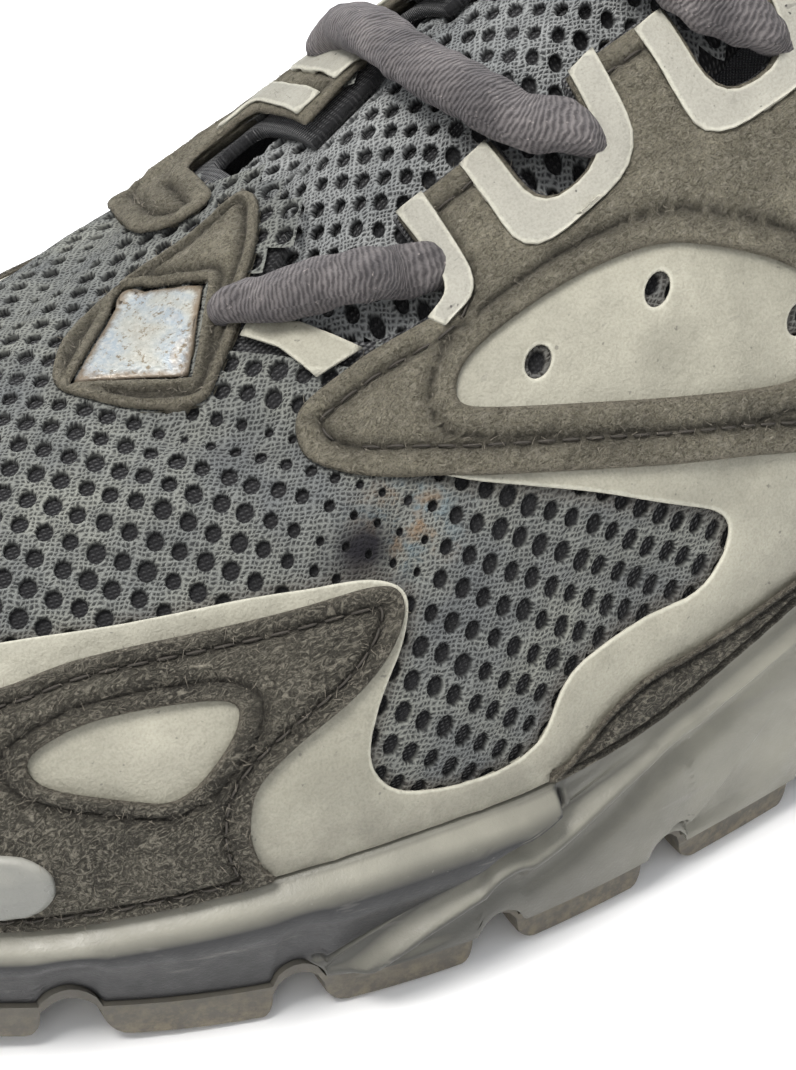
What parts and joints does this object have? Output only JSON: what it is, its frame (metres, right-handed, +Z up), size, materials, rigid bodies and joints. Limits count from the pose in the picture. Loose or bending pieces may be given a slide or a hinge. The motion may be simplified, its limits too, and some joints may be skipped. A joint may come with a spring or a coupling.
{
  "type": "running shoe",
  "caption": "Low trail running shoe, left foot, with a hollow mesh upper, suede and synthetic overlays, padded tongue, straight laces and a thick lugged sole.",
  "frame": {"origin": "middle of the sole's footprint, on the ground", "axes": "+X from toe to heel, -Y to the outer (lateral) side of the foot, +Z up"},
  "size_m": [0.2988, 0.1076, 0.1455],
  "materials": {
    "outsole_rubber": "matt, scuffed",
    "midsole_rubber": "satin",
    "lining": "brushed knit",
    "knit_mesh": "open knit",
    "tongue_knit": "open knit over padding",
    "grey_synthetic": "fine grain, satin",
    "suede": "nap, worn",
    "reflective_strip": "matt reflective",
    "badge_film": "pearly film",
    "lace_cord": "tubular knit, fuzzy"
  },
  "bodies": {
    "root": {"badge": "badge_film", "badge_frame": "suede", "eyestay_lateral": "suede", "eyestay_medial": "suede", "foot_strip_lateral": "suede", "foot_strip_medial": "suede", "heel_overlay": "suede", "insole": "lining", "lace_1": "lace_cord", "lace_2": "lace_cord", "lace_3": "lace_cord", "lace_4": "lace_cord", "lace_guide_lateral_1": "reflective_strip", "lace_guide_lateral_2": "reflective_strip", "lace_guide_lateral_3": "reflective_strip", "lace_guide_lateral_4": "reflective_strip", "lace_guide_medial_1": "reflective_strip", "lace_guide_medial_2": "reflective_strip", "lace_guide_medial_3": "reflective_strip", "lace_guide_medial_4": "reflective_strip", "midsole": "midsole_rubber", "outsole": "outsole_rubber", "side_overlay": "grey_synthetic", "throat_band": "grey_synthetic", "toe_button": "midsole_rubber", "toe_overlay": "suede", "tongue": "tongue_knit", "upper": "knit_mesh"}
  },
  "joints": []
}
